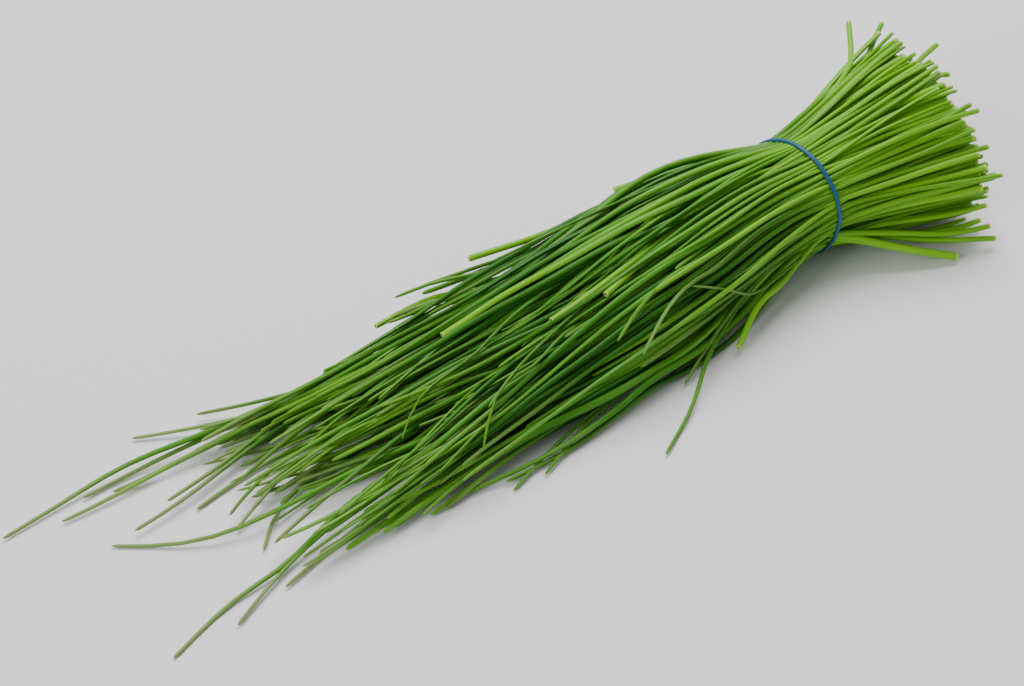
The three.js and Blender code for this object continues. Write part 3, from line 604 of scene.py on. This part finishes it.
class Wire:
    """A socket of a material, which takes part in sums: each operator adds its Math node."""

    def __init__(self, finish, socket):
        self.finish, self.socket = finish, socket

    def math(self, operation, *values):
        return self.finish.node("ShaderNodeMath", {"operation": operation}, dict(enumerate(values)))

    def __add__(self, other):
        return self.math("ADD", self, other)

    def __mul__(self, other):
        return self.math("MULTIPLY", self, other)

    def __sub__(self, other):
        return self.math("SUBTRACT", self, other)

    def __rsub__(self, other):
        return self.math("SUBTRACT", other, self)

    __radd__, __rmul__ = __add__, __mul__

    def between(self, low, high):
        """0 at low and 1 at high, eased in and out."""
        sockets = {"Value": self, "From Min": low, "From Max": high}
        return self.finish.node("ShaderNodeMapRange", {"interpolation_type": "SMOOTHSTEP"}, sockets)

    def part(self, index):
        """One of a vector's three numbers."""
        return self.finish.node("ShaderNodeSeparateXYZ", {}, {0: self}, index)


class Finish:
    """A material in the making."""

    def __init__(self, name):
        self.material = bpy.data.materials.new(name)
        self.material.use_nodes = True
        self.nodes = self.material.node_tree.nodes
        self.shader = self.nodes["Principled BSDF"]

    def join(self, value, socket):
        if isinstance(value, Wire):
            self.material.node_tree.links.new(value.socket, socket)
        else:
            socket.default_value = value

    def node(self, kind, settings, sockets, output=0):
        made = self.nodes.new(kind)
        for name, value in settings.items():
            setattr(made, name, value)
        for key, value in sockets.items():
            self.join(value, made.inputs[key])
        return Wire(self, made.outputs[output])

    def attribute(self, name):
        return self.node("ShaderNodeAttribute", {"attribute_name": name}, {}, "Vector")

    def noise(self, vector, scale, detail):
        """Noise that changes as often as scale says, in each of the vector's three directions."""
        times = {"operation": "MULTIPLY"}
        stretched = self.node("ShaderNodeVectorMath", times, {0: vector, 1: scale})
        sockets = {"Vector": stretched, "Scale": 1.0, "Detail": detail}
        return self.node("ShaderNodeTexNoise", {}, sockets)

    def mix(self, share, a, b):
        return self.node("ShaderNodeMix", {"data_type": "RGBA"}, {0: share, 6: a, 7: b}, 2)

    def set(self, **values):
        for name, value in values.items():
            self.join(value, self.shader.inputs[name.replace("_", " ")])


def colour(red, green, blue):
    """A colour from its 0 to 255 values on a screen."""
    parts = [c / 255 for c in (red, green, blue)]
    return (*(c / 12.92 if c <= 0.04045 else ((c + 0.055) / 1.055) ** 2.4 for c in parts), 1)


DEEP_GREEN = colour(33, 96, 5)
LEAF_GREEN = colour(80, 147, 30)
BRIGHT_GREEN = colour(110, 173, 26)
CUT_GREEN = colour(120, 184, 22)
TIP_GREEN = colour(104, 158, 40)
PALE_TIP = colour(122, 142, 82)
# Pale patches, partly the leaf's waxy bloom and partly painted highlight.
BLOOM_AND_HIGHLIGHT = colour(128, 176, 88)
PALE_RIM = colour(180, 206, 104)

# How fine each pattern is, twice across the leaf and once along it.
STREAKS, BLOTCHES, BLOOM_AND_HIGHLIGHT_PATCHES = (3.0, 3.0, 0.12), (0.2, 0.2, 0.35), (0.9, 0.9, 0.22)
# Lengths from the cut end and from the tip, between which a colour comes or goes.
CUT_GREEN_ENDS, RIM_ENDS, TIP_GREEN_STARTS = (10, 120), (0.0, 1.2), (0, 60)
# The first two on the next line bound the painted shade along the middle of a leaf.
PAINTED_SHADE_STARTS, PAINTED_SHADE_ENDS, PALE_STARTS = (110, 160), (180, 230), (225, 280)
# The tones at which bright and dark leaves begin, and the noise of bloom and painted highlight.
BRIGHT_TONE, DARK_TONE, BLOOM_AND_HIGHLIGHT_NOISE = (0.75, 1.1), (0.2, 0.1), (0.56, 0.72)
# How much of each colour shows, and how strong the patterns are.
# The first of these is the strength of the painted shade along the middle of a leaf.
PAINTED_SHADE, CUT_SHARE, CUT_BY_TONE, TIP_SHARE = 0.42, 0.5, 0.42, 0.55
# The last of these is the share of the bloom and painted highlight.
PALE_SHARE, PALE_BY_TONE, BLOOM_AND_HIGHLIGHT_SHARE = 0.85, 0.5, 0.3
STREAKED, BLOTCHED, BRIGHT_BLOTCHED = 0.5, 0.6, 0.7
ROUGHNESS, ROUGHER_STREAKS, SHINE = 0.3, 0.24, 0.2

leaf_finish = Finish("chive_leaf")
section = leaf_finish.attribute("leaf_section")
nature = leaf_finish.attribute("leaf_nature")
tone, from_cut, to_tip = nature.part(0), nature.part(1), nature.part(2)
streaks = leaf_finish.noise(section, STREAKS, 3)
blotches = leaf_finish.noise(section, BLOTCHES, 2)

# Along the middle of its length a leaf is darkened by painted shade. Each leaf has its own tone.
painted_shade = PAINTED_SHADE * from_cut.between(*PAINTED_SHADE_STARTS) * (1 - from_cut.between(*PAINTED_SHADE_ENDS))
shade = tone - painted_shade + (streaks - 0.5) * STREAKED + (blotches - 0.5) * BLOTCHED
green = leaf_finish.mix(shade.between(0.0, 1.0), DEEP_GREEN, LEAF_GREEN)
# The bright leaves are held back by half of the painted shade too.
bright = tone - painted_shade * 0.5 + (blotches - 0.5) * BRIGHT_BLOTCHED
green = leaf_finish.mix(bright.between(*BRIGHT_TONE), green, BRIGHT_GREEN)

# It is yellowish at its cut end. Its tip is greyish, most of all if it is long or has a dark tone.
near_cut = 1 - from_cut.between(*CUT_GREEN_ENDS)
green = leaf_finish.mix(near_cut * (CUT_SHARE + CUT_BY_TONE * tone), green, CUT_GREEN)
near_tip = 1 - to_tip.between(*TIP_GREEN_STARTS)
green = leaf_finish.mix(near_tip * TIP_SHARE, green, TIP_GREEN)
pale = near_tip * (from_cut.between(*PALE_STARTS) + PALE_BY_TONE * tone.between(*DARK_TONE))
green = leaf_finish.mix(pale * PALE_SHARE, green, PALE_TIP)

# Pale patches of waxy bloom and painted highlight lie on it, and the cut shows its pale wall.
bloom_and_highlight_patches = leaf_finish.noise(section, BLOOM_AND_HIGHLIGHT_PATCHES, 3).between(*BLOOM_AND_HIGHLIGHT_NOISE)
green = leaf_finish.mix(bloom_and_highlight_patches * BLOOM_AND_HIGHLIGHT_SHARE, green, BLOOM_AND_HIGHLIGHT)
green = leaf_finish.mix(1 - from_cut.between(*RIM_ENDS), green, PALE_RIM)
roughness = ROUGHNESS + ROUGHER_STREAKS * streaks
leaf_finish.set(Base_Color=green, Roughness=roughness, Specular_IOR_Level=SHINE)

shapes = {}
for open_tip in (False, True):
    model = straight_leaf(open_tip)
    points = np.empty(len(model.data.vertices) * 3)
    model.data.vertices.foreach_get("co", points)
    faces = [list(face.vertices) for face in model.data.polygons]
    shapes[open_tip] = points.reshape(-1, 3), faces
    bpy.data.objects.remove(model)

BLUNT_TONE = 0.85  # the blunt leaves that stand out are among the brightest
NO_TIP = 200  # a blunt leaf's colour is that of a leaf this far from its tip
PATTERN_APART = 7.3  # between the patterns of two leaves, so that no two are alike

tones = [draw() for _ in range(LEAF_COUNT)]
for i in routes:
    tones[i] = BLUNT_TONE if blunt[i] else tones[i]
for number, lock in enumerate(locks, 1):
    points, faces, sections, natures = [], [], [], []
    for i in lock:
        shape, leaf_faces = shapes[bool(blunt[i])]
        start = sum(len(part) for part in points)
        points.append(bend_leaf(i, shape))
        faces += [[start + v for v in face] for face in leaf_faces]
        length = cut_x[i] - tip_x[i]
        along = shape[:, 0] * length
        sections.append(np.stack([shape[:, 1] + PATTERN_APART * i, shape[:, 2], along / 10], 1))
        to_end = np.full_like(along, NO_TIP) if blunt[i] else length - along
        from_end = np.minimum(along, 2 * (length - along)) if blunt[i] else along
        natures.append(np.stack([np.full_like(along, tones[i]), from_end, to_end], 1))
    mesh = bpy.data.meshes.new(f"leaves_{number:02}_fine")
    mesh.from_pydata(np.concatenate(points).tolist(), [], faces)
    for name, values in (("leaf_section", sections), ("leaf_nature", natures)):
        layer = mesh.attributes.new(name, "FLOAT_VECTOR", "POINT")
        layer.data.foreach_set("vector", np.concatenate(values).astype(np.float32).ravel())
    piece = bpy.data.objects.new(mesh.name, mesh)
    bpy.context.scene.collection.objects.link(piece)
    mesh.materials.append(leaf_finish.material)
    only(piece)
    bpy.ops.object.shade_smooth_by_angle(angle=SMOOTH_ANGLE)
    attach(piece, "root")
    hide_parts(f"leaves_{number:02}")


# ---- The elastic band ----
# A thin round elastic cord, closed in a ring and stretched round the bundle, a little askew. It
# follows the outline of the leaves and is pressed flat where the bunch lies on it.

BAND_BLUE = colour(8, 80, 116)
BAND_DENT = 0.15  # how deep it sinks in the leaves
BAND_SUPPORTS = 360  # directions in which the leaves hold it off
SIDEWAYS = 0.2  # a support that turns further aside than this doesn't count

deselect()
bpy.ops.mesh.primitive_torus_add(
    major_segments=96,
    minor_segments=12,
    major_radius=(BAND_RADIUS - BAND_THICKNESS / 2) * MM,
    minor_radius=BAND_THICKNESS / 2 * MM,
    location=(0, 0, BAND_MIDDLE * MM),
    rotation=(0, math.pi / 2, BAND_YAW),
)
band = bpy.context.object
band.name = band.data.name = "elastic_band_fine"
band.scale = (1, 1, BAND_WIDTH / BAND_THICKNESS)
bpy.ops.object.transform_apply(location=True, rotation=True, scale=True)

facing = np.linspace(0, 2 * math.pi, BAND_SUPPORTS, endpoint=False)
outward = np.stack([np.cos(facing), np.sin(facing)], 1)
tied = way[TIE] - (0, BAND_MIDDLE)
tied *= 1 - WAIST
support = (tied @ outward.T + (leaf_radius * SQUEEZE)[:, None]).max(0)
support = support + BAND_THICKNESS / 2 - BAND_DENT
for vertex in band.data.vertices:
    across = vertex.co.x * -math.sin(BAND_YAW) + vertex.co.y * math.cos(BAND_YAW)
    along = vertex.co.x * math.cos(BAND_YAW) + vertex.co.y * math.sin(BAND_YAW)
    up = vertex.co.z - BAND_MIDDLE * MM
    angle = math.atan2(up, across)
    toward = np.cos(facing - angle)
    hull = (support[toward > SIDEWAYS] / toward[toward > SIDEWAYS]).min() * MM
    reach = math.hypot(across, up) - (BAND_RADIUS - BAND_THICKNESS / 2) * MM + hull
    across, up = reach * math.cos(angle), reach * math.sin(angle)
    vertex.co.x = along * math.cos(BAND_YAW) - across * math.sin(BAND_YAW)
    vertex.co.y = along * math.sin(BAND_YAW) + across * math.cos(BAND_YAW)
    vertex.co.z = max(up + BAND_MIDDLE * MM, 0)
bpy.ops.object.shade_smooth()
band_finish = Finish("elastic_band")
band_finish.set(Base_Color=BAND_BLUE, Roughness=0.55)
band.data.materials.append(band_finish.material)
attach(band, "root")
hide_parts("elastic_band")


# ---- The surface, the light and the camera ----
# A plain pale surface under a large soft light from above and behind, and a weak one in front.

bpy.ops.mesh.primitive_plane_add(size=6)
floor = bpy.context.object
floor.name = "floor"
floor_finish = Finish("floor")
floor_finish.set(Base_Color=(0.8, 0.8, 0.8, 1), Roughness=0.8)
floor.data.materials.append(floor_finish.material)


def back_from(azimuth, elevation):
    """The direction from the bunch back to an eye or a lamp."""
    a, e = math.radians(azimuth), math.radians(elevation)
    return Vector((math.sin(a) * math.cos(e), -math.cos(a) * math.cos(e), math.sin(e)))


def aimed(thing, azimuth, elevation, distance, target):
    back = back_from(azimuth, elevation)
    thing.location = Vector(target) + back * distance
    thing.rotation_euler = back.to_track_quat("Z", "Y").to_euler()


# Azimuth and elevation in degrees, and how far back in metres.
CAMERA_FROM = (-35.1156, 40, 0.8)
MIDDLE_OF_VIEW = (-0.0982, 0.0127, 0)
LENS, SENSOR = 92.8, 36
SKY_STRENGTH = 0.38
for name, azimuth, elevation, distance, size, power in (
    ("top_light", 140, 62, 1.2, 0.9, 19),
    ("front_light", -80, 32, 1.3, 0.6, 9),
):
    lamp = bpy.data.lights.new(name, "AREA")
    lamp.size = size
    lamp.energy = power
    light = bpy.data.objects.new(name, lamp)
    bpy.context.scene.collection.objects.link(light)
    aimed(light, azimuth, elevation, distance, MIDDLE_OF_VIEW)

world = bpy.data.worlds.new("studio")
world.use_nodes = True
world.node_tree.nodes["Background"].inputs["Color"].default_value = (1, 1, 1, 1)
world.node_tree.nodes["Background"].inputs["Strength"].default_value = SKY_STRENGTH
bpy.context.scene.world = world

camera = bpy.data.objects.new("camera", bpy.data.cameras.new("camera"))
camera.data.sensor_width = SENSOR
camera.data.lens = LENS
bpy.context.scene.collection.objects.link(camera)
aimed(camera, *CAMERA_FROM, MIDDLE_OF_VIEW)
bpy.context.scene.camera = camera
